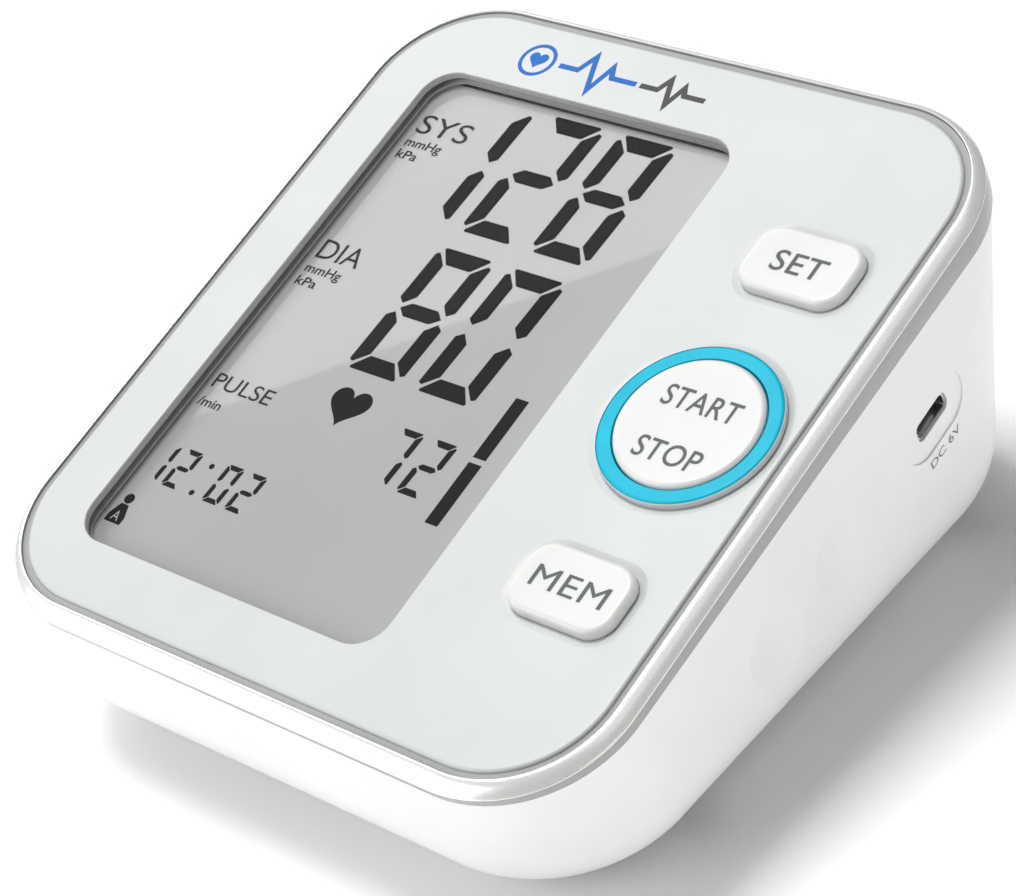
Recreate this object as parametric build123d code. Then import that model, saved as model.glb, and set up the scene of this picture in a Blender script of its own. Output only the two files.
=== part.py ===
from build123d import *
from math import cos, radians, sin
import os

# Upper arm blood pressure monitor, a wedge-shaped table unit with a sloping face.
# Frame: X to the user's right, Y away from the user, Z up, origin on the table under the middle.
# All sizes are in millimetres.

# ---- face and body -----------------------------------------------------------------------------
FACE_TILT = 14.0            # slope of the front panel
PARTING_TILT = 12.6         # slope of the joint between the trim ring and the tub
FACE_HEIGHT = 43.3          # centre of the face above the table
TRIM_W = 114.1              # trim ring at its widest line
TRIM_H = 125.4
TRIM_R = 20.5
TRIM_Y = -0.5               # its centre below the face centre
TRIM_DROP = 1.4             # widest line below the face
TRIM_DRAFT = 0.35           # skirt of the trim leans in by this much over its full depth
SKIRT_DEPTH = 9.0
OPENING_W = 109.5           # inner opening of the trim ring
OPENING_H = 121.1
OPENING_R = 17.7
PARTING_DEPTH = 4.5         # joint below the face, at the middle
WALL = 2.2                  # wall of the tub
FOOT_W = 113.9              # outline of the tub at its floor, before the rounding
FOOT_D = 114.4
FOOT_R = 27.3
FOOT_Y = -0.6
FLOOR = 1.0                 # underside of the tub above the table
BOTTOM_ROUND = 13.6

# ---- front panel, window, keys -----------------------------------------------------------------
PANEL_W = 107.5
PANEL_H = 119.1
PANEL_R = 16.8
PANEL_T = 2.2
PLATE_T = 2.0               # plate of the upper housing, under the panel
PLATE_LOW = -(PANEL_T + PLATE_T)
WINDOW_X = -14.2
WINDOW_Y = -1.3
WINDOW_W = 60.0
WINDOW_H = 96.2
WINDOW_R = 5.5
LENS_T = 1.0
LENS_LAP = 2.0              # lens reaches this far behind the panel, all round
LCD_W = 64.5
LCD_H = 101.0
LCD_TOP = -2.6
LCD_T = 2.2
KEY_X = 38.2                # column of keys
KEY_MIDDLE = -0.75          # middle key's place along the face
KEY_PITCH = 29.35
KEY_W = 18.0
KEY_H = 11.7
KEY_R = 4.0
KEY_PROUD = 1.5
KEY_GAP = 0.14
DISH_W = 1.2                # shallow dish in the panel round each key
DISH_DEPTH = 0.25
ROUND_KEY_R = 11.1
ROUND_KEY_PROUD = 1.4
RING_IN_R = 11.4
RING_OUT_R = 13.6
RING_PROUD = 0.9
RING_HOLE_R = RING_OUT_R + 0.15
FLANGE_T = 0.9
FLANGE_LAP = 0.9            # retaining flange of a key beyond its hole

# ---- boards ------------------------------------------------------------------------------------
BOARD_TOP = -10.8
BOARD_T = 1.6
SWITCH_SIZE = 6.0
SWITCH_TOP = -7.5
PLUNGER_R = 1.7
PLUNGER_GAP = 0.06
BOARD_SCREWS = [(24.3, -31.0), (24.3, 45.5), (43.5, 45.5)]
CARRIER_PIN_Y = (-20.0, 30.0)

# ---- battery compartment and door --------------------------------------------------------------
CELL_R = 7.25
CELL_LENGTH = 50.5
CELL_PITCH = 15.0
CELL_ROW_Y = -10.5
CELL_Z = 10.7
BAY_HALF = 28.4             # half length of the compartment, along the cells
BAY_FRONT = -41.0
BAY_BACK = 20.0
BAY_TOP = 18.3
BAY_WALL = 1.5
DOOR_HALF = 31.0
DOOR_T = 2.0
DOOR_BACK = 25.5
DOOR_GAP = 0.3
HINGE_Y = -44.0
HINGE_Z = 2.4
HINGE_R = 1.4
HINGE_PIN_R = 0.8
HINGE_PIN_GAP = 0.06
HINGE_PIN_L = 2.4

# ---- screws and feet ---------------------------------------------------------------------------
SCREW_X = 51.2
SCREW_ROWS = [(-30.0, 16.0), (38.0, 20.0)]     # Y, and height of the joint between boss and post
SCREW_SPOTS = [(side * SCREW_X, y, split) for y, split in SCREW_ROWS for side in (-1, 1)]
SCREW_SEAT = 8.0
POST_R = 2.5
FOOT_SPOTS = [(-37.3, -33.0), (37.3, -33.0), (-37.3, 30.0), (37.3, 30.0)]
FOOT_PAD_R = 5.0

# ---- pump, valve, air line, sockets ------------------------------------------------------------
PUMP_Y = 38.8
PUMP_Z = 19.0
MOTOR_R = 12.0
MOTOR_FROM = -28.0
MOTOR_TO = 2.0
HEAD_R = 13.5
HEAD_FROM = 2.6
HEAD_TO = 25.0
SHAFT_R = 1.0
VALVE_X = -40.5
VALVE_Z = 11.0
CUFF_PORT = (-42.9, 8.5)     # ports on top of the manifold
SENSOR_SPOT = (-22.0, 10.0)  # on the face frame
SENSOR_DEPTH = -15.0
TUBE_R = 2.0
TUBE_BORE_R = 1.5
SOCKET_Y = 24.0
SOCKET_Z = 24.0
SOCKET_BORE_R = 2.1
SOCKET_BORE_L = 11.5
SOCKET_FACE = -56.7
SOCKET_SEAT = -55.6         # floor of the collar's recess in the left wall
JACK_Y = 27.5
JACK_Z = 29.9
JACK_W = 7.5
JACK_H = 2.95
SIDE_X = 56.8               # right wall at the height of the jack

# ---- frames ------------------------------------------------------------------------------------
TILT_COS = cos(radians(FACE_TILT))
TILT_SIN = sin(radians(FACE_TILT))
FRONT_REACH = (TRIM_H / 2 - TRIM_Y) * TILT_COS - TRIM_DROP * TILT_SIN
BACK_DEPTH = PARTING_DEPTH + TRIM_H / 2 * sin(radians(FACE_TILT - PARTING_TILT))
BACK_LEAN = TRIM_DRAFT * (BACK_DEPTH - TRIM_DROP) / (SKIRT_DEPTH - TRIM_DROP)
BACK_REACH = (TRIM_H / 2 + TRIM_Y - BACK_LEAN) * TILT_COS + BACK_DEPTH * TILT_SIN
FACE_Y = (FRONT_REACH - BACK_REACH) / 2       # puts the origin under the middle of the whole unit
FACE = Plane(origin=(0, FACE_Y, FACE_HEIGHT), x_dir=(1, 0, 0), z_dir=(0, -TILT_SIN, TILT_COS))
PARTING = Plane(
    origin=FACE.from_local_coords((0, TRIM_Y, -PARTING_DEPTH)),
    x_dir=(1, 0, 0),
    z_dir=(0, -sin(radians(PARTING_TILT)), cos(radians(PARTING_TILT))),
)
TUB_W = TRIM_W - 2 * TRIM_DRAFT
TUB_H = TRIM_H - 2 * TRIM_DRAFT
TUB_R = TRIM_R - TRIM_DRAFT
GROUND = Plane.XY
ALONG_X = Plane.YZ
PUMP_AXIS = Plane(origin=(0, PUMP_Y, PUMP_Z), x_dir=(0, 1, 0), z_dir=(-1, 0, 0))
SENSOR_END = FACE.from_local_coords((*SENSOR_SPOT, SENSOR_DEPTH))
SENSOR_PORT = (-38.1, SENSOR_END.Y)
SET_SPOT = (KEY_X, KEY_MIDDLE + KEY_PITCH)
START_SPOT = (KEY_X, KEY_MIDDLE)
MEMORY_SPOT = (KEY_X, KEY_MIDDLE - KEY_PITCH)
KEY_SPOTS = [SET_SPOT, MEMORY_SPOT]
SWITCH_SPOTS = [SET_SPOT, START_SPOT, MEMORY_SPOT]
BIG = 400.0


def outline(width, height, radius, level, x=0.0, y=0.0, base=FACE):
    """Rounded rectangle at a level above the base plane."""
    return base.offset(level) * Pos(x, y) * RectangleRounded(width, height, radius)


def plate(width, height, radius, low, high, x=0.0, y=0.0, base=FACE):
    """Rounded plate between two levels above the base plane."""
    return extrude(outline(width, height, radius, low, x, y, base), high - low)


def block(width, height, low, high, x=0.0, y=0.0, base=FACE):
    """Square-cornered block between two levels above the base plane."""
    return extrude(base.offset(low) * Pos(x, y) * Rectangle(width, height), high - low)


def rod(radius, low, high, x=0.0, y=0.0, base=FACE):
    """Cylinder between two levels above the base plane."""
    return extrude(base.offset(low) * Pos(x, y) * Circle(radius), high - low)


def span(x_range, y_range, z_range):
    """Box between limits along X, Y and Z."""
    width = x_range[1] - x_range[0]
    depth = y_range[1] - y_range[0]
    middle_x = (x_range[0] + x_range[1]) / 2
    middle_y = (y_range[0] + y_range[1]) / 2
    return block(width, depth, z_range[0], z_range[1], middle_x, middle_y, GROUND)


def below_parting(depth=0.0):
    """Everything under the parting plane, or under a level that far below it."""
    return block(BIG, BIG, -BIG, -depth, base=PARTING)


def hull(inset, floor, rounding):
    """Body between the floor outline and the parting plane, inset from the outer skin."""
    foot = outline(
        FOOT_W - 2 * inset, FOOT_D - 2 * inset, FOOT_R - inset, floor, 0, FOOT_Y, GROUND
    )
    top = outline(TUB_W - 2 * inset, TUB_H - 2 * inset, TUB_R - inset, 0, base=PARTING)
    body = loft([foot.face(), top.face()], ruled=True)
    return fillet(body.edges().group_by(Axis.Z)[0], rounding)


def top_edges(shape, plane):
    """Edges of the face that lies furthest out along the plane's normal."""
    return shape.faces().sort_by(Axis(plane.origin, plane.z_dir))[-1].edges()


# ---- outer shells ------------------------------------------------------------------------------
def battery_bay():
    """Walls and roof over the cells, the hinge rail and the snap finger's pocket."""
    walls = span(
        (-BAY_HALF - BAY_WALL, BAY_HALF + BAY_WALL),
        (BAY_FRONT - BAY_WALL, BAY_BACK + BAY_WALL),
        (FLOOR + 1.2, BAY_TOP + BAY_WALL),
    )
    rail = span((-DOOR_HALF - 3.2, DOOR_HALF + 3.2), (HINGE_Y - 3.6, HINGE_Y + 3.0), (2.0, 5.6))
    pocket = span((-9.5, 9.5), (BAY_BACK + BAY_WALL, DOOR_BACK + 1.6), (FLOOR + 1.2, 10.2))
    return walls + rail + pocket


def battery_bay_space():
    """Space for the cells, the door, its hinge and its snap finger."""
    cells = span((-BAY_HALF, BAY_HALF), (BAY_FRONT, BAY_BACK), (0, BAY_TOP))
    door = span(
        (-DOOR_HALF - DOOR_GAP, DOOR_HALF + DOOR_GAP),
        (HINGE_Y, DOOR_BACK + DOOR_GAP),
        (0, FLOOR + DOOR_T + 0.2),
    )
    barrel = rod(
        HINGE_R + DOOR_GAP, -DOOR_HALF - DOOR_GAP, DOOR_HALF + DOOR_GAP, HINGE_Y, HINGE_Z, ALONG_X
    )
    swing = span(
        (-DOOR_HALF - DOOR_GAP, DOOR_HALF + DOOR_GAP),
        (HINGE_Y - HINGE_R - DOOR_GAP, HINGE_Y),
        (0, HINGE_Z),
    )
    pin_reach = DOOR_HALF + HINGE_PIN_L + 0.3
    pins = rod(HINGE_PIN_R + HINGE_PIN_GAP, -pin_reach, pin_reach, HINGE_Y, HINGE_Z, ALONG_X)
    finger = span((-8.0, 8.0), (BAY_BACK + BAY_WALL + 0.1, DOOR_BACK + 0.7), (0, 9.0))
    return cells + door + barrel + swing + pins + finger


def pump_ribs():
    """Two saddle ribs that carry the pump over the floor."""
    ribs = span((-22, -20), (PUMP_Y - 11, PUMP_Y + 11), (FLOOR + 1, 11))
    ribs += span((14, 16), (PUMP_Y - 11, PUMP_Y + 11), (FLOOR + 1, 11))
    return ribs - rod(HEAD_R + 0.05, -BIG / 2, BIG / 2, PUMP_Y, PUMP_Z, ALONG_X)


def jack_plane(x):
    """Plane across the power jack's axis, with its long side along the slope of the face."""
    return Plane(origin=(x, JACK_Y, JACK_Z), x_dir=(0, TILT_COS, TILT_SIN), z_dir=(1, 0, 0))


def side_dimple(y, z):
    """Shallow round dimple of 10 mm in the right wall."""
    return Pos(SIDE_X + 39.55, y, z) * Sphere(40)


def lower_housing():
    """Tub of the monitor: outer walls, floor, battery compartment, screw bosses and ribs."""
    skin = hull(0, FLOOR, BOTTOM_ROUND)
    hollow = hull(WALL, FLOOR + WALL, BOTTOM_ROUND - WALL + 0.2)
    bosses = Part()
    for x, y, split in SCREW_SPOTS:
        bosses += rod(4.2, FLOOR, 11.5, x, y, GROUND)
        bosses += rod(POST_R, 11.5, split, x, y, GROUND)
    pads = Part()
    for x, y in FOOT_SPOTS:
        pads += rod(FOOT_PAD_R + 1.2, FLOOR, FLOOR + WALL + 0.8, x, y, GROUND)
    inside = (battery_bay() + pump_ribs() + bosses + pads) & skin
    tub = skin - hollow + inside
    tub -= battery_bay_space()
    for x, y, split in SCREW_SPOTS:
        tub -= rod(2.7, 0, SCREW_SEAT, x, y, GROUND)
        tub -= rod(1.5, SCREW_SEAT - 1, split + 1, x, y, GROUND)
    for x, y in FOOT_SPOTS:
        tub -= rod(FOOT_PAD_R + 0.15, 0, FLOOR + 0.7, x, y, GROUND)
    tub -= span((-26.2, 26.2), (28.8, 43.2), (0, FLOOR + 0.3))
    tub -= plate(15.0, 9.6, 4.7, -0.3, 4, base=jack_plane(SIDE_X))
    tub -= plate(JACK_W + 0.3, JACK_H + 0.3, 1.2, -8, 4, base=jack_plane(SIDE_X))
    tub -= rod(4.7, -60, -50, SOCKET_Y, SOCKET_Z, ALONG_X)
    tub -= rod(6.35, -60, SOCKET_SEAT, SOCKET_Y, SOCKET_Z, ALONG_X)
    tub -= side_dimple(3.2, 24.0)
    tub -= side_dimple(-13.0, 20.0)
    return tub


def upper_housing():
    """Inner frame: plate behind the front panel, skirt with a lip into the tub, posts and pins."""
    width = OPENING_W - 0.3
    height = OPENING_H - 0.3
    frame = plate(width, height, OPENING_R - 0.15, -12, -PANEL_T) - below_parting()
    core = hull(WALL + 0.25, FLOOR + WALL, 8)
    frame += core - below_parting(2)
    frame -= plate(width - 3.6, height - 3.8, OPENING_R - 2.0, -20, PLATE_LOW)
    for x, y, split in SCREW_SPOTS:
        post = rod(POST_R, split, FACE_HEIGHT + 20, x, y, GROUND)
        post -= block(BIG, BIG, PLATE_LOW + 0.5, BIG)
        frame += post - below_parting()
        frame += post & core
    for x, y in BOARD_SCREWS:
        frame += rod(2.6, BOARD_TOP, PLATE_LOW, x, y)
        frame -= rod(0.85, BOARD_TOP - 1, PLATE_LOW, x, y)
    frame -= plate(LCD_W + 0.6, LCD_H + 0.6, 1.5, -8, 0, WINDOW_X, WINDOW_Y)
    for x, y in KEY_SPOTS:
        frame -= plate(KEY_W + 2 * KEY_GAP, KEY_H + 2 * KEY_GAP, KEY_R + KEY_GAP, -8, 0, x, y)
    frame -= rod(RING_OUT_R + 0.1, -8, 0, *START_SPOT)
    for x, y, split in SCREW_SPOTS:
        frame -= rod(1.25, split - 1, split + 12, x, y, GROUND)
    return frame


def trim_ring():
    """Silver ring round the face: a rolled-over front band and a skirt down to the joint."""
    crest = outline(OPENING_W + 0.5, OPENING_H + 0.5, OPENING_R + 0.25, 0)
    middle = outline(
        (OPENING_W * 0.42 + TRIM_W * 0.58), (OPENING_H * 0.42 + TRIM_H * 0.58),
        (OPENING_R * 0.42 + TRIM_R * 0.58), -0.5, 0, TRIM_Y * 0.6
    )
    widest = outline(TRIM_W, TRIM_H, TRIM_R, -TRIM_DROP, 0, TRIM_Y)
    foot = outline(TUB_W, TUB_H, TUB_R, -SKIRT_DEPTH, 0, TRIM_Y)
    ring = loft([middle.face(), crest.face()], ruled=True)
    ring += loft([widest.face(), middle.face()], ruled=True)
    ring += loft([foot.face(), widest.face()], ruled=True)
    ring -= below_parting()
    return ring - plate(OPENING_W, OPENING_H, OPENING_R, -20, 2)


def dish(lower, upper):
    """Shallow dished cut between a hole's outline and a wider one at the face."""
    return loft([lower.face(), upper.face()], ruled=True)


def front_panel():
    """Glossy face plate with the display window and the key holes."""
    panel = plate(PANEL_W, PANEL_H, PANEL_R, -PANEL_T, 0)
    panel = fillet(top_edges(panel, FACE), 0.6)
    panel -= plate(WINDOW_W, WINDOW_H, WINDOW_R, -3, 1, WINDOW_X, WINDOW_Y)
    lens_w = WINDOW_W + 2 * LENS_LAP
    lens_h = WINDOW_H + 2 * LENS_LAP
    panel -= plate(lens_w + 0.2, lens_h + 0.2, WINDOW_R, -3, LENS_T - PANEL_T, WINDOW_X, WINDOW_Y)
    hole_w = KEY_W + 2 * KEY_GAP
    hole_h = KEY_H + 2 * KEY_GAP
    hole_r = KEY_R + KEY_GAP
    for x, y in KEY_SPOTS:
        panel -= plate(hole_w, hole_h, hole_r, -3, 1, x, y)
        panel -= dish(
            outline(hole_w, hole_h, hole_r, -DISH_DEPTH, x, y),
            outline(hole_w + 2 * DISH_W, hole_h + 2 * DISH_W, hole_r + DISH_W, 0.01, x, y),
        )
    spot = Pos(*START_SPOT)
    panel -= dish(
        FACE.offset(-DISH_DEPTH) * spot * Circle(RING_HOLE_R),
        FACE.offset(0.01) * spot * Circle(RING_HOLE_R + DISH_W),
    )
    return panel - rod(RING_HOLE_R, -3, 1, *START_SPOT)


def display_lens():
    """Clear cover glued behind the window."""
    width = WINDOW_W + 2 * LENS_LAP
    height = WINDOW_H + 2 * LENS_LAP
    return plate(width, height, WINDOW_R, -PANEL_T, LENS_T - PANEL_T, WINDOW_X, WINDOW_Y)


# ---- keys --------------------------------------------------------------------------------------
def key_stem(x, y):
    """Cross-shaped stem from the cap down to the switch plunger."""
    stem = rod(2.2, SWITCH_TOP + 1.2, 0, x, y)
    stem += block(8.5, 1.0, -5, 0, x, y)
    stem += block(1.0, 8.5, -5, 0, x, y)
    return stem


def oblong_key(x, y):
    """Oblong key cap: hollow shell with a rounded edge, a retaining flange and a stem."""
    cap = plate(KEY_W, KEY_H, KEY_R, PLATE_LOW - 0.2 - FLANGE_T, KEY_PROUD, x, y)
    cap = fillet(top_edges(cap, FACE), 0.9)
    lap = 2 * (KEY_GAP + FLANGE_LAP)
    cap += plate(
        KEY_W + lap, KEY_H + lap, KEY_R + FLANGE_LAP,
        PLATE_LOW - 0.2 - FLANGE_T, PLATE_LOW - 0.2, x, y
    )
    cap -= plate(KEY_W - 2.8, KEY_H - 2.8, KEY_R - 1.4, -8, KEY_PROUD - 1.6, x, y)
    return cap + key_stem(x, y)


def round_key():
    """START/STOP key cap, which slides inside the light ring."""
    low = PLATE_LOW - 0.1 - FLANGE_T - 0.2 - FLANGE_T
    cap = rod(ROUND_KEY_R, low, ROUND_KEY_PROUD, *START_SPOT)
    cap = fillet(top_edges(cap, FACE), 0.8)
    cap += rod(RING_IN_R + FLANGE_LAP, low, low + FLANGE_T, *START_SPOT)
    cap -= rod(ROUND_KEY_R - 1.4, -8, ROUND_KEY_PROUD - 1.6, *START_SPOT)
    return cap + key_stem(*START_SPOT)


def light_ring():
    """Coloured light guide round the START/STOP key, with a flange under the plate."""
    ring = rod(RING_OUT_R, PLATE_LOW - 0.1, RING_PROUD, *START_SPOT)
    ring = fillet(top_edges(ring, FACE), 0.5)
    ring += rod(RING_OUT_R + 0.8, PLATE_LOW - 0.1 - FLANGE_T, PLATE_LOW - 0.1, *START_SPOT)
    return ring - rod(RING_IN_R, -8, 2, *START_SPOT)


def switch_plunger(x, y):
    """Sprung plunger of one key switch, which moves with its key."""
    return rod(PLUNGER_R, SWITCH_TOP - 1.1, SWITCH_TOP + 1.2, x, y)


def key_switches():
    """Bodies of the three key switches on the main board."""
    bodies = Part()
    for x, y in SWITCH_SPOTS:
        body = block(SWITCH_SIZE, SWITCH_SIZE, BOARD_TOP, SWITCH_TOP, x, y)
        bodies += body - rod(PLUNGER_R + PLUNGER_GAP, SWITCH_TOP - 2.4, SWITCH_TOP + 1, x, y)
    return bodies


# ---- display stack and boards ------------------------------------------------------------------
def lcd_glass():
    """Liquid crystal cell: upper glass and a longer lower glass with the contact ledge."""
    lower = plate(LCD_W, LCD_H, 0.6, LCD_TOP - LCD_T, LCD_TOP - 1.1, WINDOW_X, WINDOW_Y)
    upper = plate(LCD_W, LCD_H - 3, 0.6, LCD_TOP - 1.1, LCD_TOP, WINDOW_X, WINDOW_Y - 1.5)
    return lower + upper


LCD_LOW = LCD_TOP - LCD_T


def lcd_reflector():
    """Thin reflector sheet behind the liquid crystal cell."""
    return block(LCD_W - 1, 92, LCD_LOW - 0.3, LCD_LOW, WINDOW_X, WINDOW_Y - 2.5)


def backlight_panel():
    """Light guide slab behind the reflector."""
    return block(LCD_W - 1, 92, LCD_LOW - 2.8, LCD_LOW - 0.3, WINDOW_X, WINDOW_Y - 2.5)


def lcd_carrier():
    """Plastic frame that holds the display stack under the plate."""
    carrier = plate(LCD_W + 6, LCD_H + 5, 3, LCD_LOW - 4, PLATE_LOW, WINDOW_X, WINDOW_Y)
    carrier -= plate(LCD_W + 0.4, LCD_H + 0.4, 0.8, LCD_LOW - 2.8, 0, WINDOW_X, WINDOW_Y)
    carrier -= block(58, 2.6, -12, 0, WINDOW_X, WINDOW_Y + 47)
    carrier -= block(44, 60, -12, 0, WINDOW_X, WINDOW_Y - 2.5)
    for x, y, split in SCREW_SPOTS:
        carrier -= rod(POST_R + 0.4, 0, 80, x, y, GROUND)
    for y in CARRIER_PIN_Y:
        carrier += rod(1.5, BOARD_TOP - BOARD_T - 0.6, LCD_LOW - 3, WINDOW_X - 32, y)
        carrier += rod(2.6, BOARD_TOP, LCD_LOW - 3, WINDOW_X - 32, y)
    return carrier


def connector_strip():
    """Elastomer strip between the display's contact ledge and the main board."""
    return block(56, 2.2, BOARD_TOP, LCD_LOW, WINDOW_X, WINDOW_Y + 47)


def main_board():
    """Main circuit board behind the display and the keys."""
    board = plate(98, 84, 6, BOARD_TOP - BOARD_T, BOARD_TOP, -2, 7)
    for x, y, split in SCREW_SPOTS:
        board -= rod(POST_R + 0.6, 0, 80, x, y, GROUND)
    for x, y in BOARD_SCREWS:
        board -= rod(1.2, -20, 0, x, y)
    for y in CARRIER_PIN_Y:
        board -= rod(1.6, -20, 0, WINDOW_X - 32, y)
    return board


BOARD_LOW = BOARD_TOP - BOARD_T


def board_chips():
    """Controller, memory, regulator and two capacitors on the underside of the main board."""
    chips = plate(12, 12, 0.6, BOARD_LOW - 1.6, BOARD_LOW, -6, 14)
    chips += block(5, 4, BOARD_LOW - 1.4, BOARD_LOW, 10, 20)
    chips += block(6.5, 6.5, BOARD_LOW - 1.8, BOARD_LOW, 30, 30)
    chips += rod(3.15, BOARD_LOW - 6, BOARD_LOW, 34, 40)
    chips += rod(3.15, BOARD_LOW - 6, BOARD_LOW, 26, 40)
    return chips


def ring_leds():
    """Five small lamps round the START/STOP key, under the light ring."""
    lamps = Part()
    for angle in (60, 120, 180, 240, 300):
        x = KEY_X + 14.6 * cos(radians(angle))
        y = KEY_MIDDLE + 14.6 * sin(radians(angle))
        lamps += block(3.0, 1.6, BOARD_TOP, BOARD_TOP + 1.2, x, y)
    return lamps


def buzzer():
    """Round beeper on the underside of the main board."""
    body = rod(6, BOARD_LOW - 5.5, BOARD_LOW, -38, 42)
    return body - rod(1.0, BOARD_LOW - 6, BOARD_LOW - 4.5, -38, 42)


def pressure_sensor():
    """Pressure sensor under the main board, with its hose port towards the left."""
    x, y = SENSOR_SPOT
    body = block(9, 9, BOARD_LOW - 4.6, BOARD_LOW, x, y)
    port_plane = Plane(origin=SENSOR_END, z_dir=(-1, 0, 0))
    return body + rod(TUBE_BORE_R, 4, 9.5, base=port_plane) - rod(0.6, 1, 10, base=port_plane)


def board_screws():
    """Three small screws that hold the main board to the upper housing."""
    screws = Part()
    for x, y in BOARD_SCREWS:
        screws += rod(2.0, BOARD_LOW - 1.3, BOARD_LOW, x, y)
        screws += rod(0.8, BOARD_LOW, BOARD_TOP + 4, x, y)
        screws -= block(2.4, 0.5, BOARD_LOW - 2, BOARD_LOW - 0.8, x, y)
    return screws


# ---- batteries ---------------------------------------------------------------------------------
def cell(index):
    """AA cell, 14.5 mm by 50.5 mm, laid along X; neighbours face opposite ways."""
    y = CELL_ROW_Y + (index - 1.5) * CELL_PITCH
    can = rod(CELL_R, -CELL_LENGTH / 2, CELL_LENGTH / 2 - 1.3, 0, 0, ALONG_X)
    can = fillet(can.edges(), 0.6)
    nub = rod(2.7, CELL_LENGTH / 2 - 2, CELL_LENGTH / 2, 0, 0, ALONG_X)
    turn = 180 * (index % 2)
    shift = BAY_HALF - 0.45 - CELL_LENGTH / 2
    return Pos(0, y, CELL_Z) * Rot(0, 0, turn) * Pos(shift, 0, 0) * (can + nub)


def contact_plates(side):
    """Contact plates against one end wall of the compartment."""
    plates = Part()
    low = side * (BAY_HALF - 0.2) - 0.2
    groups = [(-1.5,), (-0.5, 0.5), (1.5,)] if side < 0 else [(-1.5, -0.5), (0.5, 1.5)]
    for group in groups:
        y = CELL_ROW_Y + CELL_PITCH * sum(group) / len(group)
        width = 9 + CELL_PITCH * (len(group) - 1)
        plates += block(width, 10, low, low + 0.4, y, CELL_Z, ALONG_X)
    return plates


def battery_springs():
    """Coil springs behind the flat ends of the cells."""
    springs = Part()
    reach = 2 * BAY_HALF - CELL_LENGTH - 0.45 - 0.4
    for index in range(4):
        y = CELL_ROW_Y + (index - 1.5) * CELL_PITCH
        side = -1 if index % 2 == 0 else 1
        path = Helix(1.45, reach - 0.9, 3.0)
        wire = sweep(Plane(path @ 0, z_dir=path % 0) * Circle(0.32), path)
        coil = Pos(0, 0, 0.4) * wire
        placed = Rot(0, -90 * side, 0) * coil
        springs += Pos(side * (BAY_HALF - 0.4), y, CELL_Z) * placed
    return springs


def battery_door():
    """Door over the cells: plate, hinge barrel with pins, snap finger, grip and stiffening ribs."""
    door = span((-DOOR_HALF, DOOR_HALF), (HINGE_Y, DOOR_BACK), (FLOOR, FLOOR + DOOR_T))
    door += rod(HINGE_R, -DOOR_HALF, DOOR_HALF, HINGE_Y, HINGE_Z, ALONG_X)
    reach = DOOR_HALF + HINGE_PIN_L
    door += rod(HINGE_PIN_R, -reach, reach, HINGE_Y, HINGE_Z, ALONG_X)
    inner = BAY_BACK + BAY_WALL + 0.6
    door += span((-7, 7), (inner, inner + 0.9), (FLOOR + 1, 8.2))
    door += span((-7, 7), (DOOR_BACK - 0.9, DOOR_BACK), (FLOOR + 1, 8.2))
    door += span((-7, 7), (inner, DOOR_BACK), (7.3, 8.2))
    for row in range(4):
        door -= span((-9, 9), (8 + 2.4 * row, 9.2 + 2.4 * row), (FLOOR - 1, FLOOR + 0.6))
    return door


# ---- pump, valve and air line ------------------------------------------------------------------
def pump_motor():
    """Motor can with its bearing nose and end cap."""
    can = rod(MOTOR_R, MOTOR_FROM, MOTOR_TO - 1.2, base=PUMP_AXIS)
    can = fillet(can.edges(), 1.0)
    nose = rod(3.1, MOTOR_TO - 1.3, MOTOR_TO, base=PUMP_AXIS)
    return can + nose - rod(SHAFT_R + 0.05, -12, MOTOR_TO + 1, base=PUMP_AXIS)


def pump_shaft():
    """Motor shaft with the eccentric that drives the diaphragms."""
    shaft = rod(SHAFT_R, -11.5, 12.5, base=PUMP_AXIS)
    return shaft + rod(4.0, 6.5, 11.0, 1.2, 0, PUMP_AXIS)


def pump_head():
    """Diaphragm housing in front of the motor, with its outlet port."""
    head = rod(HEAD_R, HEAD_FROM, HEAD_TO, base=PUMP_AXIS)
    head = chamfer(head.edges(), 0.8)
    head -= rod(8.0, HEAD_FROM + 1.5, HEAD_FROM + 12, base=PUMP_AXIS)
    head -= rod(3.3, HEAD_FROM - 1, HEAD_FROM + 2, base=PUMP_AXIS)
    head += rod(TUBE_BORE_R, HEAD_TO - 1, HEAD_TO + 5, base=PUMP_AXIS)
    return head - rod(0.8, HEAD_TO - 2, HEAD_TO + 6, base=PUMP_AXIS)


def pump_sleeve():
    """Rubber sleeve round the motor that keeps its noise off the tub."""
    sleeve = rod(HEAD_R, MOTOR_FROM + 3, -3, base=PUMP_AXIS)
    return sleeve - rod(MOTOR_R, MOTOR_FROM - 1, MOTOR_TO + 2, base=PUMP_AXIS)


def along_y(radius, low, high):
    """Cylinder along Y on the valve's axis."""
    base = Plane(origin=(VALVE_X, 0, VALVE_Z), x_dir=(1, 0, 0), z_dir=(0, 1, 0))
    return rod(radius, low, high, base=base)


def valve_body():
    """Solenoid of the release valve: yoke and coil with the plunger's bore."""
    yoke = span((VALVE_X - 6.5, VALVE_X + 6.5), (-20, 0), (VALVE_Z - 6, VALVE_Z + 6))
    yoke -= span((VALVE_X - 7, VALVE_X + 7), (-18.8, -1.2), (VALVE_Z - 4.8, VALVE_Z + 4.8))
    coil = along_y(4.4, -19.4, -0.6)
    return yoke + coil - along_y(2.06, -17, 1)


def valve_plunger():
    """Sliding plunger that closes the air nozzle; it returns by its spring."""
    return along_y(2.0, -15, 3.0) + along_y(3.0, 1.6, 3.0)


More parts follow.
